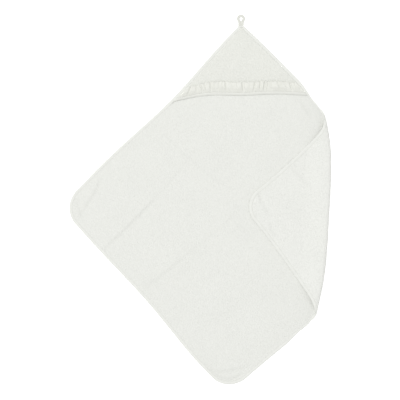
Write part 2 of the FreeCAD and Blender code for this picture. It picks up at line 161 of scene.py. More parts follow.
def crease(points, depth, width):
    """A soft dent along a curve through three points, given from the hood's point."""
    a, b, c = (POINT + np.array(p) for p in points)
    control = 2 * b - (a + c) / 2
    share = np.linspace(0, 1, 40)[:, None]
    line = (1 - share) ** 2 * a + 2 * share * (1 - share) * control + share**2 * c
    fade = np.sin(np.linspace(0.3, math.pi - 0.3, 40)) ** 0.7
    return line, depth * fade, width


# The towel was packed folded in half one way and in four the other; its corners are dented too
CREASES = [
    crease([(-0.267, -0.322), (-0.138, -0.444), (-0.028, -0.522)], 0.0006, 0.0050),
    crease([(-0.144, -0.403), (-0.286, -0.569), (-0.424, -0.704)], 0.0007, 0.0050),
    crease([(-0.280, -0.562), (-0.345, -0.630), (-0.430, -0.710)], 0.0013, 0.0045),
    crease([(0.009, -0.573), (-0.141, -0.704), (-0.298, -0.824)], 0.0005, 0.0050),
    crease([(-0.190, -0.745), (-0.245, -0.790), (-0.303, -0.828)], 0.0007, 0.0055),
    crease([(0.135, -0.786), (-0.016, -0.883), (-0.154, -0.987)], 0.0003, 0.0060),
    crease([(-0.439, -0.491), (-0.467, -0.547), (-0.505, -0.604)], 0.0012, 0.0050),
    crease([(-0.511, -0.560), (-0.505, -0.591), (-0.492, -0.623)], 0.0010, 0.0050),
    crease([(-0.122, -1.084), (-0.050, -1.090), (0.019, -1.074)], 0.0012, 0.0045),
    crease([(-0.088, -1.096), (-0.038, -1.115), (0.003, -1.096)], 0.0012, 0.0045),
    crease([(0.185, -0.240), (0.201, -0.268), (0.217, -0.293)], 0.0012, 0.0055),
    crease([(0.055, -0.527), (0.059, -0.548), (0.064, -0.570)], 0.0016, 0.0050),
    crease([(0.072, -0.566), (0.078, -0.585), (0.087, -0.600)], 0.0012, 0.0050),
    crease([(0.090, -0.630), (0.097, -0.651), (0.110, -0.672)], 0.0010, 0.0055),
    crease([(0.160, -0.457), (0.188, -0.485), (0.220, -0.519)], 0.0010, 0.0050),
]


def dents_at(place):
    """How deep the creases dent the cloth."""
    depth = np.zeros(len(place))
    for line, deepest, width in CREASES:
        near = np.flatnonzero(np.linalg.norm(place - line[20], axis=1) < 0.3)
        gap = np.linalg.norm(place[near, None, :] - line[None], axis=2)
        nearest = gap.argmin(axis=1)
        depth[near] += deepest[nearest] * np.exp(-((gap.min(axis=1) / width) ** 2))
    return depth


def swell(place):
    """The cloth's slow waviness where it lies."""
    x, y = place.T
    return 0.0004 + 0.0002 * np.sin(23 * x + 9 * y + 1) + 0.0002 * np.sin(31 * y - 17 * x)


def rim_of_fold(along):
    """How far the fold's rim lies outside the hinge: it bows out, and its ends hook in."""
    s = along / HALF_FOLD
    bow = 0.0085 - 0.0010 * s + 0.0011 * s**2 + 0.0020 * s**3 - 0.0309 * s**4
    return bow + np.where(s > 0, 0.0057, 0.0125) * s**10 / (1 + s**10 / 4)


def fold_over(flat, height):
    """Places on the unfolded cloth, at a height above its underside, once the corner is folded."""
    rel = flat - HINGE[:2]
    out, along = rel @ OUT[:2], rel @ ALONG[:2]
    turn = turn_of(flat)
    wide, length = bend_at(flat)
    over = np.clip(out - length, 0, None)
    away = np.maximum(-out, over)
    across = np.minimum(out, 0) + (wide - height) * np.sin(turn) - over
    across = across + (rim_of_fold(along) - wide) * (1 - np.clip(away / DRAW, 0, 1)) ** 2
    sweep = 0.0083 * smooth((along / HALF_FOLD - 0.6) / 0.5) * smooth(turn / math.pi)
    sweep = sweep * np.exp(-over / 0.04)
    along = along - sweep
    drop = 2 * RADIUS - 2 * TERRY - FLAP_GAP
    up = RADIUS - (RADIUS - height) * np.cos(turn) - drop * smooth(over / FLAP_SLOPE)
    place = HINGE[:2] + across[:, None] * OUT[:2] + along[:, None] * ALONG[:2]
    return np.column_stack([place, up + swell(place) - dents_at(place) * np.clip(up / TERRY, 0, 1)])


def share_of(flat):
    """How far each place turns with the corner, so that the opened cloth lies as low as it can."""
    turn = turn_of(flat)
    side = np.where(turn < math.pi / 2, -1, 1)
    middle = fold_over(flat, TERRY / 2)
    across = (middle[:, :2] - HINGE[:2]) @ OUT[:2]
    below = HINGE[2] - middle[:, 2]
    angle = np.arctan2(across, below)
    angle = np.where((side > 0) & (across < 0), angle + 2 * math.pi, angle)
    level = np.arccos(np.clip(ROLL / np.maximum(np.hypot(across, below), 1e-6), 0, 1))
    share = np.clip((angle - side * level) / math.pi, 0, 1)
    return np.where(turn <= 0, 0, np.where(turn >= math.pi, 1, share))


def inset_of(cut):
    """The distance of places on the cut cloth from its edge."""
    inset = np.minimum(cut, SIDE - cut).min(axis=1)
    for x, y, radius in CUT_CORNERS:
        centre = np.array([x, y]) * (SIDE - 2 * radius) + radius
        beyond = (cut - centre) * (2 * np.array([x, y]) - 1)
        inside = (beyond > 0).all(axis=1)
        inset = np.where(inside, radius - np.linalg.norm(cut - centre, axis=1), inset)
    return inset


def rounded(cut):
    """Moves a square grid's corners in to the towel's rounded corners."""
    cut = cut.copy()
    for x, y, radius in CUT_CORNERS:
        sign = 2 * np.array([x, y]) - 1
        centre = np.array([x, y]) * (SIDE - 2 * radius) + radius
        beyond = (cut - centre) * sign / radius
        inside = (beyond > 0).all(axis=1)
        p, q = beyond[inside].T
        pulled = np.column_stack([p * np.sqrt(1 - q * q / 2), q * np.sqrt(1 - p * p / 2)])
        cut[inside] = centre + pulled * radius * sign
    return cut


# ---- Mesh building ----


def make_mesh(name, points, faces, uv, material):
    """A smooth-shaded mesh with one UV per vertex, in metres of cloth."""
    mesh = bpy.data.meshes.new(name)
    mesh.from_pydata(points.tolist(), [], faces.tolist())
    layer = mesh.uv_layers.new(name="cloth")
    corner = np.zeros(len(mesh.loops), np.int32)
    mesh.loops.foreach_get("vertex_index", corner)
    layer.data.foreach_set("uv", uv[corner].astype(np.float32).ravel())
    mesh.polygons.foreach_set("use_smooth", np.ones(len(mesh.polygons), bool))
    mesh.materials.append(material)
    mesh.validate()
    obj = bpy.data.objects.new(name, mesh)
    bpy.context.scene.collection.objects.link(obj)
    return obj


def grid_faces(rows, columns, closed_rows=False, closed_columns=False):
    """Quads over a grid of vertices that is stored row by row."""
    r = np.arange(rows if closed_rows else rows - 1)
    c = np.arange(columns if closed_columns else columns - 1)
    r, c = (x.ravel() for x in np.meshgrid(r, c, indexing="ij"))
    r2, c2 = (r + 1) % rows, (c + 1) % columns
    return np.column_stack([r * columns + c, r2 * columns + c, r2 * columns + c2, r * columns + c2])


def slab(name, top, bottom, shape, uv, material):
    """A closed sheet between two grids of points."""
    rows, columns = shape
    count = rows * columns
    index = np.arange(count).reshape(shape)
    upper = grid_faces(rows, columns)
    rim = np.concatenate([index[0], index[1:, -1], index[-1, -2::-1], index[-2:0:-1, 0]])
    following = np.roll(rim, -1)
    edge = np.column_stack([rim, following, following + count, rim + count])
    faces = np.concatenate([upper, upper[:, ::-1] + count, edge])
    obj = make_mesh(name, np.concatenate([top, bottom]), faces, np.concatenate([uv, uv]), material)
    return face_outward(obj)


def tube(name, points, shape, uv, material):
    """A closed section swept along a line, with its two ends capped."""
    rows, columns = shape
    faces = grid_faces(rows, columns, closed_columns=True).tolist()
    faces.append(list(range(columns)))
    faces.append([(rows - 1) * columns + c for c in reversed(range(columns))])
    mesh_faces = np.empty(len(faces), object)
    mesh_faces[:] = faces
    return face_outward(make_mesh(name, points, mesh_faces, uv, material))


def face_outward(obj):
    """Turns a closed mesh's faces outwards."""
    work = bmesh.new()
    work.from_mesh(obj.data)
    bmesh.ops.recalc_face_normals(work, faces=work.faces)
    work.to_mesh(obj.data)
    work.free()
    return obj


def over_the_fold(obj, share):
    """Bakes the piece's placement into its points."""
    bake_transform(obj)


# ---- Materials ----


class Shader:
    """A node material: a Principled shader, a UV in metres of cloth, and short ways to add nodes."""

    def __init__(self, name, sheen, roughness):
        self.material = bpy.data.materials.new(name)
        self.material.use_nodes = True
        self.tree = self.material.node_tree
        self.surface = self.tree.nodes["Principled BSDF"]
        self.surface.inputs["Sheen Weight"].default_value = sheen
        self.surface.inputs["Sheen Roughness"].default_value = 0.5
        self.surface.inputs["Specular IOR Level"].default_value = 0.2
        self.surface.inputs["Roughness"].default_value = roughness
        self.uv = self.add("ShaderNodeUVMap").outputs[0]
        self.uv.node.uv_map = "cloth"

    def add(self, kind, **inputs):
        """A node with its inputs set by name: a number, a colour, or another node's output."""
        node = self.tree.nodes.new(kind)
        for key, value in inputs.items():
            socket = node.inputs[key.replace("_", " ")]
            if isinstance(value, bpy.types.NodeSocket):
                self.tree.links.new(value, socket)
            else:
                socket.default_value = value
        return node

    def stretched(self, x, y, angle=0.0):
        """The cloth's UV, scaled each way and turned."""
        node = self.add("ShaderNodeMapping", Vector=self.uv, Scale=(x, y, 1), Rotation=(0, 0, angle))
        return node.outputs[0]

    def noise(self, scale, detail=2.0, vector=None):
        """Soft noise from 0 to 1, at so many lumps per metre."""
        vector = vector or self.uv
        node = self.add("ShaderNodeTexNoise", Vector=vector, Scale=scale, Detail=detail)
        return node.outputs["Fac"]

    def swirled(self, vector, amount, scale):
        """Places pushed about by noise, by up to an amount in metres."""
        noise = self.add("ShaderNodeTexNoise", Vector=self.uv, Scale=scale, Detail=2.0)
        centred = self.vector_math("SUBTRACT", noise.outputs["Color"], (0.5, 0.5, 0.5))
        push = self.vector_math("SCALE", centred, Scale=2 * amount)
        return self.vector_math("ADD", vector, push)

    def loops(self, width, length):
        """Loops of pile in rows, leaning here and there: 1 at each loop's top, 0 in the gaps."""
        vector = self.stretched(1 / width, 1 / length)
        vector = self.swirled(vector, 0.9, 210)
        node = self.add("ShaderNodeTexVoronoi", Vector=vector, Scale=1.0)
        low = self.math("POWER", node.outputs["Distance"], 1.6)
        return self.math("SUBTRACT", 1.0, low)

    def ribs(self, pitch, angle=0.0, ragged=0.0):
        """Parallel ribs, a pitch in metres apart."""
        vector = self.stretched(1, 1, angle)
        scale = math.pi / 10 / pitch
        node = self.add("ShaderNodeTexWave", Vector=vector, Scale=scale, Distortion=ragged)
        return node.outputs["Fac"]

    def math(self, kind, a, b):
        """A sum on two numbers or outputs."""
        node = self.tree.nodes.new("ShaderNodeMath")
        node.operation = kind
        for socket, value in zip(node.inputs, (a, b)):
            if isinstance(value, bpy.types.NodeSocket):
                self.tree.links.new(value, socket)
            else:
                socket.default_value = value
        return node.outputs[0]

    def vector_math(self, kind, a, b=None, Scale=None):
        """A sum on two vectors, or on a vector and a scale."""
        node = self.tree.nodes.new("ShaderNodeVectorMath")
        node.operation = kind
        for key, value in ((0, a), (1, b), ("Scale", Scale)):
            if isinstance(value, bpy.types.NodeSocket):
                self.tree.links.new(value, node.inputs[key])
            elif value is not None:
                node.inputs[key].default_value = value
        return node.outputs[0]

    def blend(self, *shares):
        """A weighted sum of outputs."""
        total = self.math("MULTIPLY", shares[0][0], shares[0][1])
        for output, weight in shares[1:]:
            total = self.math("ADD", total, self.math("MULTIPLY", output, weight))
        return total

    def finish(self, tone, dark, light, relief, depth, strength, rough):
        """Colours the surface between two colours, and raises its relief by a depth in metres."""
        ramp = self.add("ShaderNodeValToRGB", Fac=tone)
        ramp.color_ramp.elements[0].position = 0.25
        ramp.color_ramp.elements[0].color = (*dark, 1)
        ramp.color_ramp.elements[1].position = 0.75
        ramp.color_ramp.elements[1].color = (*light, 1)
        self.tree.links.new(ramp.outputs[0], self.surface.inputs["Base Color"])
        bump = self.add("ShaderNodeBump", Height=relief, Distance=depth, Strength=strength)
        self.tree.links.new(bump.outputs[0], self.surface.inputs["Normal"])
        low, high = rough
        node = self.add("ShaderNodeMapRange", Value=relief, To_Min=high, To_Max=low)
        self.tree.links.new(node.outputs[0], self.surface.inputs["Roughness"])
        return self.material


def terry_material(name, dark, light, strength):
    """Looped cotton pile: loops, clumps of loops that lean together, slow shifts of tone, and painted
    shade along the creases.
    """
    shader = Shader(name, sheen=0.25, roughness=0.95)
    loops = shader.loops(0.0021, 0.0015)
    fibres = shader.noise(2600, 3)
    clumps = shader.noise(230, 3)
    lean = shader.noise(85, 3)
    slow = shader.noise(11, 2)
    # Painted shade: the terry's colour is darkened along the creases, where shade falls in their dents
    attribute = shader.add("ShaderNodeAttribute")
    attribute.attribute_name = "crease_shade"
    crease_shade = attribute.outputs["Fac"]
    tone = shader.blend((loops, 0.42), (clumps, 0.32), (lean, 0.12), (slow, 0.14), (crease_shade, -0.16))
    relief = shader.blend((loops, 0.62), (clumps, 0.15), (lean, 0.05), (fibres, 0.18))
    return shader.finish(tone, dark, light, relief, 0.0022, strength, (0.85, 1.0))


def tape_material(name, dark, light):
    """Plain-weave bias tape: fine threads both ways on the bias, slubs, and soft patches of tone."""
    shader = Shader(name, sheen=0.12, roughness=0.8)
    weave = shader.blend(
        (shader.ribs(0.0006, math.pi / 4, 0.4), 0.5), (shader.ribs(0.0006, -math.pi / 4, 0.4), 0.5)
    )
    slubs = shader.noise(1, 3, shader.stretched(420, 60, math.pi / 4))
    patches = shader.noise(70, 3)
    tone = shader.blend((weave, 0.2), (slubs, 0.35), (patches, 0.45))
    relief = shader.blend((weave, 0.45), (slubs, 0.35), (patches, 0.2))
    return shader.finish(tone, dark, light, relief, 0.0004, 0.5, (0.75, 0.95))


def muslin_material(name, dark, light):
    """The frill's thin cotton: an open weave, crinkled along the gathers."""
    shader = Shader(name, sheen=0.2, roughness=0.85)
    weave = shader.blend(
        (shader.ribs(0.0008, 0, 0.6), 0.5), (shader.ribs(0.0008, math.pi / 2, 0.6), 0.5)
    )
    crinkle = shader.noise(1, 3, shader.stretched(330, 45))
    patches = shader.noise(60, 3)
    tone = shader.blend((weave, 0.2), (crinkle, 0.45), (patches, 0.35))
    relief = shader.blend((weave, 0.3), (crinkle, 0.6), (patches, 0.1))
    return shader.finish(tone, dark, light, relief, 0.0007, 0.7, (0.8, 0.97))


def ribbon_material(name, dark, light):
    """Herringbone cotton tape for the loop, a little rubbed here and there."""
    shader = Shader(name, sheen=0.1, roughness=0.8)
    twill = shader.blend(
        (shader.ribs(0.0009, math.pi / 5, 0.3), 0.6), (shader.ribs(0.0009, -math.pi / 5, 0.3), 0.4)
    )
    rubbed = shader.noise(190, 3)
    tone = shader.blend((twill, 0.35), (rubbed, 0.65))
    relief = shader.blend((twill, 0.7), (rubbed, 0.3))
    return shader.finish(tone, dark, light, relief, 0.0004, 0.6, (0.7, 0.95))


def thread_material(name, dark, light):
    """Spun thread with its twist."""
    shader = Shader(name, sheen=0.05, roughness=0.6)
    twist = shader.ribs(0.0007, math.pi / 3, 0.2)
    fuzz = shader.noise(900, 2)
    tone = shader.blend((twist, 0.5), (fuzz, 0.5))
    return shader.finish(tone, dark, light, tone, 0.0002, 0.6, (0.5, 0.8))


TERRY_FINISH = terry_material("terry_pile", (0.680, 0.688, 0.651), (0.771, 0.778, 0.740), 0.62)
TERRY_BACK = terry_material("terry_pile_back", (0.702, 0.710, 0.673), (0.808, 0.815, 0.777), 0.74)
# The hood's terry: a touch warmer than the towel's, which is its own tone, and painted light: a little
# lighter, to make up for the shade on the hood's sloping arch
HOOD_LIGHTENED_FINISH = terry_material("terry_pile_hood_painted_light", (0.682, 0.690, 0.642), (0.791, 0.798, 0.750), 0.76)
TAPE_FINISH = tape_material("bias_tape", (0.676, 0.683, 0.646), (0.760, 0.767, 0.730))
# Painted shade: the same bias tape made darker along the hood's mouth, for the shade that the frill and
# the band's slope throw there
MOUTH_TAPE_SHADED_FINISH = tape_material("bias_tape_mouth_painted_shade", (0.650, 0.656, 0.615), (0.730, 0.736, 0.694))
RUFFLE_FINISH = muslin_material("frill_muslin", (0.664, 0.669, 0.619), (0.782, 0.787, 0.737))
RIBBON_FINISH = ribbon_material("loop_herringbone", (0.620, 0.626, 0.580), (0.705, 0.710, 0.665))
THREAD_FINISH = thread_material("sewing_thread_twist", (0.600, 0.605, 0.565), (0.740, 0.745, 0.705))


# ---- The towel's terry ----


def in_the_binding(inset):
    """0 where terry is squeezed inside the binding, 1 where it stands at full pile."""
    return smooth((inset - BINDING + 0.0011) / 0.0012)


def make_towel_cloth():
    """One sheet of terry: flat, round the fold, and over the folded corner."""
    edge = np.array([0.0008, 0.0055, 0.0099, 0.0111, 0.0119])
    middle = np.linspace(0.0147, SIDE - 0.0147, 213)
    lines = np.concatenate([edge, middle, SIDE - edge[::-1]])
    cut = np.stack(np.meshgrid(lines, lines, indexing="ij"), axis=-1).reshape(-1, 2)
    cut = rounded(cut)
    flat = lay(cut)
    full = in_the_binding(inset_of(cut))
    top = fold_over(flat, TAPE + SQUEEZED + (TERRY - TAPE - SQUEEZED) * full)
    bottom = fold_over(flat, TAPE * (1 - full))
    cloth = slab("towel_cloth", top, bottom, (len(lines), len(lines)), cut, TERRY_FINISH)
    cloth.data.materials.append(TERRY_BACK)
    quads = (len(lines) - 1) ** 2
    sides = np.zeros(len(cloth.data.polygons), np.int32)
    sides[quads : 2 * quads] = 1
    cloth.data.polygons.foreach_set("material_index", sides)
    # Painted shade: a weight from 0 to 1 along the creases' dents, which darkens the terry's colour
    # there
    crease_shade = cloth.data.attributes.new("crease_shade", "FLOAT", "POINT")
    places = np.concatenate([top, bottom])[:, :2]
    crease_shade.data.foreach_set("value", np.clip(dents_at(places) / 0.001, 0, 1).astype(np.float32))
    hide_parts("towel_panel", "fold_roll", "corner_flap")
    over_the_fold(cloth, np.tile(share_of(flat), 2))
    return cloth


# ---- The binding and its stitches ----


def rim(inset, spacing):
    """Places along the cut cloth's edge: outward directions and runs, evenly spaced at an inset."""
    corners = [(0, 0, POINT_RADIUS, 225, 180), (0, 1, CORNER, 180, 90), (1, 1, CORNER, 90, 0),
               (1, 0, CORNER, 0, -90), (0, 0, POINT_RADIUS, -90, -135)]
    base, outward = [], []
    for x, y, radius, first, last in corners:
        angle = np.radians(np.linspace(first, last, 60))
        way = np.column_stack([np.cos(angle), np.sin(angle)])
        centre = np.array([x, y]) * (SIDE - 2 * radius) + radius
        base.append(centre + radius * way)
        outward.append(way)
    base, outward = np.concatenate(base), np.concatenate(outward)
    inner = base - outward * inset
    run = length_along(inner)
    at = np.linspace(0, run[-1], round(run[-1] / spacing) + 1)
    base = np.column_stack([np.interp(at, run, base[:, k]) for k in (0, 1)])
    outward = np.column_stack([np.interp(at, run, outward[:, k]) for k in (0, 1)])
    return base, outward / np.linalg.norm(outward, axis=1)[:, None], at


def stack_at(cut):
    """The binding's height: taller beside the hood, where it holds two layers."""
    past = np.where(cut[:, 0] < cut[:, 1], cut[:, 1] - HOOD_LEFT, cut[:, 0] - HOOD_RIGHT)
    return TERRY + SQUEEZED * (1 - smooth((past + 0.016) / 0.020))


def ripple(run, *lengths):
    """A slow irregular wave along a seam, from -1 to 1."""
    waves = [np.sin(run * 2 * math.pi / length + rng.uniform(0, 6)) for length in lengths]
    return sum(waves) / len(lengths)


# The folded tape's section: distance from the edge, share of the height, and offset.
# It runs in over the top, round the edge, back underneath, and along its inside.
TAPE_SECTION = [
    (0.0110, 1, -0.00045), (0.0106, 1, -0.00002), (0.0099, 1, 0.0), (0.0093, 1, -0.00032),
    (0.0087, 1, 0.00002), (0.0072, 1, 0.0002), (0.0048, 1, 0.00028), (0.0024, 1, 0.0001),
    (0.0009, 1, -0.0005), (0.0001, 0.62, 0.0), (0.0001, 0.38, 0.0), (0.0009, 0, 0.0005),
    (0.0024, 0, 0.00008), (0.0048, 0, 0.0), (0.0087, 0, 0.0), (0.0093, 0, 0.0002),
    (0.0099, 0, 0.0), (0.0106, 0, 0.00002), (0.0110, 0, 0.00045), (0.0104, 0, 0.0009),
    (0.0018, 0, 0.0008), (0.0012, 0.5, 0.0), (0.0018, 1, -0.0008), (0.0104, 1, -0.0009),
]


def make_edge_tape():
    """The tape folded round the towel's edge, puckered a little by its stitches."""
    base, outward, run = rim(0, 0.0026)
    count = len(TAPE_SECTION)
    pucker = ripple(run, 0.0053, 0.0087, 0.0149, 0.041)
    wander = ripple(run, 0.019, 0.047, 0.13)
    tall = stack_at(base)
    points, uvs, shares = [], [], []
    for inset, share, offset in TAPE_SECTION:
        shift = inset + (0.0003 if inset > 0.008 else 0) * wander
        cut = base - outward * shift[:, None]
        soft = 0.0002 * pucker if share == 1 and inset < 0.0105 else 0
        flat = lay(cut)
        points.append(fold_over(flat, tall * share + offset + soft))
        shares.append(share_of(flat))
        uvs.append(np.column_stack([np.full(len(run), inset if share > 0.5 else -inset), run]))
    points = np.stack(points, axis=1).reshape(-1, 3)
    uv = np.stack(uvs, axis=1).reshape(-1, 2)
    tape = tube("edge_tape", points, (len(run), count), uv, TAPE_FINISH)
    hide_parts("edge_binding", "fold_binding_upper", "fold_binding_lower", "flap_binding")
    over_the_fold(tape, np.stack(shares, axis=1).ravel())
    return tape, run[-1]


def threads(name, starts, ends, ups, width):
    """Short plump stitches between two lists of points."""
    # Each section's place along the stitch, and its share of the width
    sections = [(0.0, 0.25), (0.14, 0.85), (0.5, 1.0), (0.86, 0.85), (1.0, 0.25)]
    around = 6
    run = ends - starts
    length = np.linalg.norm(run, axis=1)
    along = run / length[:, None]
    up = ups - (ups * along).sum(axis=1)[:, None] * along
    up = up / np.linalg.norm(up, axis=1)[:, None]
    across = np.cross(along, up)
    points, uvs = [], []
    for share, size in sections:
        for k in range(around):
            angle = 2 * math.pi * k / around
            sideways, lift = math.cos(angle) * size * width / 2, math.sin(angle) * size * width * 0.35
            dip = -width * 0.3 * (2 * share - 1) ** 2
            points.append(starts + share * run + sideways * across + (lift + dip) * up)
            uvs.append(np.column_stack([np.full(len(starts), k * width / 2), share * length]))
    per = len(points)
    faces = grid_faces(len(sections), around, closed_columns=True)
    first = np.arange(around)
    last = np.arange(per - 1, per - 1 - around, -1)
    caps = [end[[0, k, k + 1, k + 2]] for end in (first, last) for k in (1, 3)]
    faces = np.concatenate([faces, caps])
    offsets = np.arange(len(starts)) * per
    faces = (faces[None] + offsets[:, None, None]).reshape(-1, 4)
    points = np.stack(points, axis=1).reshape(-1, 3)
    uv = np.stack(uvs, axis=1).reshape(-1, 2)
    return face_outward(make_mesh(name, points, faces, uv, THREAD_FINISH)), per


def make_edge_stitches():
    """The topstitching round the binding, on both faces."""
    base, outward, run = rim(SEAM, STITCH)
    places = base - outward * SEAM
    starts = places[:-1]
    ends = starts + 0.8 * (places[1:] - starts)
    tall = stack_at(starts)
    top = (starts, ends, tall - 0.00005, 1)
    under = (starts, ends, np.full(len(starts), -0.0001), -1)
    lows, highs, ups, shares = [], [], [], []
    for a, b, height, way in (top, under):
        low, high = (fold_over(lay(p), height) for p in (a, b))
        lows.append(low)
        highs.append(high)
        ups.append(fold_over(lay(a), height + 0.0005 * way) - low)
        shares.append(share_of(lay(a)))
    stitches, per = threads(
        "edge_stitches", np.concatenate(lows), np.concatenate(highs), np.concatenate(ups), THREAD
    )
    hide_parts("edge_topstitch", "flap_topstitch")
    over_the_fold(stitches, np.repeat(np.concatenate(shares), per))
    return stitches


# ---- The hood ----

MOUTH_DEPTH = 0.235  # the hood's point to the straight line between its mouth's ends
TUCK = 0.0015  # how far inside the binding the hood's sides end


def mouth_at(w):
    """How far down the hood its mouth lies, from one side, -1, to the other, 1."""
    return 1 - 0.048 * (1 - w**4) + (0.009 * np.cos(5.6 * w) + 0.047 * w - 0.002) * (1 - w**2)


def hood_cut(t, w):
    """Places on the hood, from its point down, in the cut cloth's own terms."""
    across = (HOOD_RIGHT - TUCK) * t * (1 + w) / 2
    down = (HOOD_LEFT - TUCK) * t * (1 - w) / 2
    return np.column_stack([across, down]) + TUCK


def hood_columns(t, middle):
    """Columns across the hood at one height: close together where the binding holds its sides."""
    edge = np.array([0.0, 0.0035, 0.0082, 0.0096, 0.0125]) * min(1, t / 0.2)
    left = -1 + 2 * edge / (HOOD_RIGHT - TUCK) / t
    right = 1 - 2 * edge[::-1] / (HOOD_LEFT - TUCK) / t
    return np.concatenate([left, np.linspace(left[-1], right[0], middle + 2)[1:-1], right])


def hood_heights(t, w):
    """The hood's lower and upper face: tucked into the side binding, arched, and lower at its mouth."""
    full = smooth((hood_cut(t, w).min(axis=1) - BINDING + 0.0014) / 0.0016)
    arch = HOOD_RISE * (t / mouth_at(w)) ** 1.3 * (1 - w * w)
    arch = arch * (1 - smooth(1 - (mouth_at(w) - t) * MOUTH_DEPTH / 0.035))
    low = TAPE + SQUEEZED + (TERRY + 0.0001 - TAPE - SQUEEZED) * full + arch
    edge = smooth(1 - (mouth_at(w) - t) * MOUTH_DEPTH / 0.006)
    thick = SQUEEZED + (TERRY - SQUEEZED - 0.0013 * edge) * full
    x, y = hood_cut(t, w).T
    lumps = np.sin(61 * x + 23 * y + 2 * np.sin(31 * y)) + np.sin(47 * y - 38 * x + 2 * np.sin(43 * x))
    lumps = 0.0003 * lumps * full
    return low + lumps, low + lumps + thick


def hood_place(t, w, height):
    """Where places on the hood lie, at a height above the towel's underside."""
    return fold_over(lay(hood_cut(t, w)), height)


def make_hood_cloth():
    """The hood's terry, squeezed along its mouth inside the band."""
    band = np.array([0.0, 0.004, 0.0088, 0.0101, 0.013]) / MOUTH_DEPTH
    columns = 110
    share = np.append(np.linspace(0.03, 0.925, 76), np.ones(5))
    w = np.array([hood_columns(row, columns) for row in share])
    t = share[:, None] * mouth_at(w)
    t[-5:] -= (0.001 / MOUTH_DEPTH + band[::-1])[:, None]
    shape = w.shape
    t, w = t.ravel(), w.ravel()
    low, high = hood_heights(t, w)
    in_band = 1 - smooth(((mouth_at(w) - t) * MOUTH_DEPTH - BINDING + 0.0011) / 0.0012)
    low, high = low + TAPE * in_band, high - TAPE * in_band
    top, bottom = hood_place(t, w, high), hood_place(t, w, low)
    hood = slab("hood_cloth", top, bottom, shape, hood_cut(t, w), HOOD_LIGHTENED_FINISH)
    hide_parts("hood_panel")
    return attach(hood, "towel")


def make_mouth_tape():
    """The tape folded over the hood's mouth, in a darker copy of the tape: painted shade."""
    w = np.linspace(-0.985, 0.985, 170)
    run = length_along(lay(hood_cut(mouth_at(w), w)))
    pucker = ripple(run, 0.0053, 0.0087, 0.0149)
    points, uvs = [], []
    for inset, share, offset in TAPE_SECTION:
        t = mouth_at(w) - inset / MOUTH_DEPTH
        low, high = hood_heights(t, w)
        soft = 0.00012 * pucker if share == 1 else 0
        points.append(hood_place(t, w, low + (high - low) * share + offset + soft))
        uvs.append(np.column_stack([np.full(len(w), inset if share > 0.5 else -inset), run]))
    points = np.stack(points, axis=1).reshape(-1, 3)
    uv = np.stack(uvs, axis=1).reshape(-1, 2)
    tape = tube("hood_mouth_tape", points, (len(w), len(TAPE_SECTION)), uv, MOUTH_TAPE_SHADED_FINISH)
    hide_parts("hood_band")
    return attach(tape, "towel"), run[-1]


def make_mouth_stitches():
    """The topstitching along the hood's mouth."""
    w = np.linspace(-0.94, 0.94, round(0.42 / STITCH))
    lows, highs, ups = [], [], []
    for side_share, way in ((1, 1), (0, -1)):
        ends = []
        for step in (0.0, 0.8):
            at = w[:-1] + step * (w[1:] - w[:-1])
            t = mouth_at(at) - SEAM / MOUTH_DEPTH
            low, high = hood_heights(t, at)
            height = low + (high - low) * side_share - 0.00012 * way
            ends.append(hood_place(t, at, height))
            above = hood_place(t, at, height + 0.0005 * way)
            if step == 0:
                ups.append(above - ends[0])
        lows.append(ends[0])
        highs.append(ends[1])
    stitches, _ = threads(
        "mouth_stitches", np.concatenate(lows), np.concatenate(highs), np.concatenate(ups), THREAD
    )
    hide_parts("band_topstitch")
    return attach(stitches, "towel")


# The frill's folds along the mouth, from -1 to 1: place, depth, slant, and half its open width
FOLDS = [
    (-0.985, 1.0, 0.0, 0.002), (-0.940, 0.8, -0.041, 0.006), (-0.843, 0.9, 0.0, 0.006),
    (-0.730, 0.8, -0.030, 0.008), (-0.655, 0.9, -0.061, 0.010), (-0.600, 0.6, -0.061, 0.006),
    (-0.510, 0.9, -0.020, 0.009), (-0.440, 0.3, -0.017, 0.006), (-0.371, 0.45, 0.0, 0.005),
    (-0.310, 0.3, -0.017, 0.004), (-0.249, 0.9, -0.030, 0.008), (-0.140, 0.25, -0.022, 0.003),
    (-0.060, 0.3, -0.012, 0.003), (0.042, 1.0, -0.017, 0.018), (0.140, 0.25, 0.0, 0.004),
    (0.221, 1.0, 0.022, 0.013), (0.315, 0.9, 0.0, 0.010), (0.385, 1.0, 0.008, 0.016),
    (0.430, 0.6, 0.0, 0.006), (0.500, 0.25, -0.022, 0.004), (0.605, 0.4, -0.045, 0.004),
    (0.715, 0.5, -0.045, 0.007), (0.788, 1.0, -0.015, 0.012), (0.850, 0.35, 0.0, 0.004),
    (0.910, 0.7, 0.022, 0.006), (0.985, 1.0, 0.0, 0.002),
]
FRILL_RISE = 0.0040


def frill_waves(r):
    """Across the frill at a height r, from 0 to 1: places along the mouth, and its rise there."""
    places, rises = [], []
    phase = np.linspace(0, 1, 19)[:-1]
    for number, (left, right) in enumerate(zip(FOLDS, FOLDS[1:])):
        start, end = (fold[0] + fold[2] * (r - 0.5) for fold in (left, right))
        swing = np.cos(math.pi * phase)
        x = 0.5 - 0.5 * np.sign(swing) * np.abs(swing) ** 0.7
        width = end - start - left[3] - right[3]
        place = np.where(phase == 0, start, start + left[3] + width * x)
        deep = left[1] + (right[1] - left[1]) * smooth(x)
        lean = 0.18 * math.sin(2.4 * number) * (2 * x - 1)
        crest = 1 + 0.15 * math.sin(1.7 * number)
        rise = crest * (1 - deep * (1 - np.sin(math.pi * phase) ** 0.5)) + lean * deep
        places.append(place)
        rises.append(np.where(phase == 0, 1 - left[1], rise))
    return np.append(np.concatenate(places), FOLDS[-1][0]), np.append(np.concatenate(rises), 0.0)


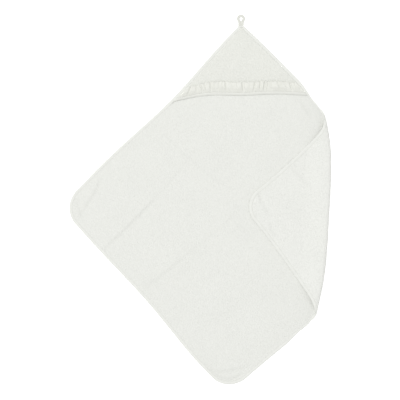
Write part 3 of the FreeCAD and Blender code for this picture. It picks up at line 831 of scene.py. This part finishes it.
def make_ruffle():
    """The gathered frill: soft crests between folds creased flat, held flatter along its seam."""
    rows = 25
    tops, bottoms, uvs = [], [], []
    for r in np.linspace(0, 1, rows):
        w, rise = frill_waves(r)
        uneven = 0.0008 * np.sin(21 * w + 1) + 0.0005 * np.sin(47 * w)
        across = w * (1 + 0.155 * (r - 0.5) * (1 - w**4))
        t = mouth_at(across) - (BINDING - 0.0012 + (RUFFLE + uneven) * r) / MOUTH_DEPTH
        held = 0.10 + 0.90 * smooth(r / 0.5)
        puckers = 0.00015 * np.sin(330 * w + 3 * np.sin(23 * w))
        puckers = puckers * smooth(r / 0.15) * (1 - smooth(r / 0.6))
        free = smooth((hood_cut(t, across).min(axis=1) - BINDING + 0.001) / 0.005)
        _, high = hood_heights(t, across)
        under_the_tape = 0.0007 * (1 - smooth(r / 0.16))
        lift = 0.0001 + (FRILL_RISE * held * rise + puckers + 0.0004 * r * r) * free - under_the_tape
        thick = 0.0005 + 0.0004 * smooth((r - 0.93) / 0.07) * free
        tops.append(hood_place(t, across, high + lift + thick))
        bottoms.append(hood_place(t, across, high + lift))
        run = length_along(tops[-1])
        uvs.append(np.column_stack([run, np.full(len(w), r * RUFFLE)]))
    shape = (rows, len(uvs[0]))
    top, bottom, uv = (np.concatenate(part) for part in (tops, bottoms, uvs))
    ruffle = slab("gathered_frill", top, bottom, shape, uv, RUFFLE_FINISH)
    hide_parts("ruffle")
    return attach(ruffle, "towel"), uvs[rows // 2][-1, 0]


# ---- The hanging loop ----

# The tape's middle from the left tail, round the eye, to the right tail, from the hood's point
LOOP_ROUTE = [
    (-0.0048, -0.0240), (-0.0044, -0.0100), (-0.0042, -0.0020), (-0.0047, 0.0040), (-0.0067, 0.0090),
    (-0.0090, 0.0140), (-0.0072, 0.0196), (-0.0024, 0.0233), (0.0024, 0.0233), (0.0072, 0.0196),
    (0.0090, 0.0140), (0.0065, 0.0090), (0.0043, 0.0040), (0.0036, -0.0020), (0.0030, -0.0100),
    (0.0030, -0.0240),
]
LOOP_WIDTH = 0.0092
LOOP_THICK = 0.0011


def curve_through(points, per_step):
    """A Catmull-Rom curve through points."""
    points = np.array(points)
    padded = np.concatenate([[2 * points[0] - points[1]], points, [2 * points[-1] - points[-2]]])
    out = []
    for a, b, c, d in zip(padded, padded[1:], padded[2:], padded[3:]):
        s = np.linspace(0, 1, per_step, endpoint=False)[:, None]
        square = (2 * a - 5 * b + 4 * c - d) * s**2
        cube = (3 * b - a - 3 * c + d) * s**3
        out.append(0.5 * (2 * b + (c - a) * s + square + cube))
    return np.concatenate(out + [points[-1:]])


def make_loop():
    """The loop's flat tape: its right leg lies over its left one, and its tails go into the binding."""
    middle = curve_through(LOOP_ROUTE, 8)
    run = length_along(middle)
    way = np.gradient(middle, axis=0)
    way = way / np.linalg.norm(way, axis=1)[:, None]
    across = np.column_stack([-way[:, 1], way[:, 0]])
    share = run / run[-1]
    over = smooth((share - 0.55) / 0.2)
    lie = PIVOT[2] - 0.0007 + 0.0013 * over
    section = [
        (-1, 0.0), (-0.97, 0.35), (-0.8, 0.5), (-0.3, 0.46), (0.3, 0.46), (0.8, 0.5),
        (0.97, 0.35), (1, 0.0), (0.97, -0.35), (0.8, -0.5), (-0.8, -0.5), (-0.97, -0.35),
    ]
    points, uvs = [], []
    for sideways, height in section:
        flat = POINT + middle + across * sideways * LOOP_WIDTH / 2
        points.append(np.column_stack([flat, lie + height * LOOP_THICK]))
        u = sideways * LOOP_WIDTH / 2 + 0.02 * (height < 0)
        uvs.append(np.column_stack([np.full(len(run), u), run]))
    points = np.stack(points, axis=1).reshape(-1, 3)
    uv = np.stack(uvs, axis=1).reshape(-1, 2)
    loop = tube("hanging_loop_tape", points, (len(run), len(section)), uv, RIBBON_FINISH)
    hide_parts("hanging_loop", "loop_tails")
    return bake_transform(loop)


def make_bar_tack():
    """The block of close stitches that holds the loop's tails."""
    low, high = (np.array(corner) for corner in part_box("loop_bar_tack"))
    x = np.linspace(low[0], high[0], 22)
    level = swell(np.column_stack([x, np.full(len(x), low[1])])) + STACK + 0.0005
    starts = np.column_stack([x, np.full(len(x), low[1]), level])
    ends = np.column_stack([x + 0.0003, np.full(len(x), high[1]), level])
    ups = np.tile([0.0, 0.0, 1.0], (len(x), 1))
    tack, _ = threads("loop_tack_stitches", starts, ends, ups, 0.0006)
    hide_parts("loop_bar_tack")
    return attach(tack, "towel")


towel_cloth = make_towel_cloth()
edge_tape, edge_length = make_edge_tape()
edge_stitches = make_edge_stitches()
hood_cloth = make_hood_cloth()
mouth_tape, mouth_length = make_mouth_tape()
mouth_stitches = make_mouth_stitches()
frill, frill_length = make_ruffle()
make_loop()
make_bar_tack()

# ---- Floor, light and camera ----


def make_floor():
    """A plain pale floor."""
    shader = Shader("studio_floor", sheen=0.0, roughness=0.9)
    shader.surface.inputs["Base Color"].default_value = (0.93, 0.93, 0.93, 1)
    shader.surface.inputs["Emission Color"].default_value = (1, 1, 1, 1)
    shader.surface.inputs["Emission Strength"].default_value = 0.35
    size = 40
    points = np.array([(-size, -size, 0), (size, -size, 0), (size, size, 0), (-size, size, 0)], float)
    points[:, 2] = -0.0002
    floor = make_mesh("studio_floor", points, np.array([[0, 1, 2, 3]]), points[:, :2], shader.material)


def make_light(name, place, size, power):
    """A soft square light that faces the towel."""
    data = bpy.data.lights.new(name, "AREA")
    data.size = size
    data.energy = power
    light = bpy.data.objects.new(name, data)
    light.location = place
    bpy.context.scene.collection.objects.link(light)
    light.rotation_euler = (-Vector(place)).to_track_quat("-Z", "Y").to_euler()


def make_camera():
    """Straight above, as the photograph was taken."""
    data = bpy.data.cameras.new("camera")
    width, height = 1.2548, 3.0
    data.sensor_width = 36
    data.lens = data.sensor_width * height / width
    camera = bpy.data.objects.new("camera", data)
    camera.location = (-0.0048, 0.0012, height)
    bpy.context.scene.collection.objects.link(camera)
    bpy.context.scene.camera = camera


make_floor()
make_light("key", (-3.8, 2.7, 15.0), 7.0, 1500)
make_camera()
world = bpy.data.worlds.new("studio")
world.use_nodes = True
world.node_tree.nodes["Background"].inputs["Color"].default_value = (1, 1, 1, 1)
world.node_tree.nodes["Background"].inputs["Strength"].default_value = 0.65
bpy.context.scene.world = world
bpy.context.scene.view_settings.view_transform = "Standard"
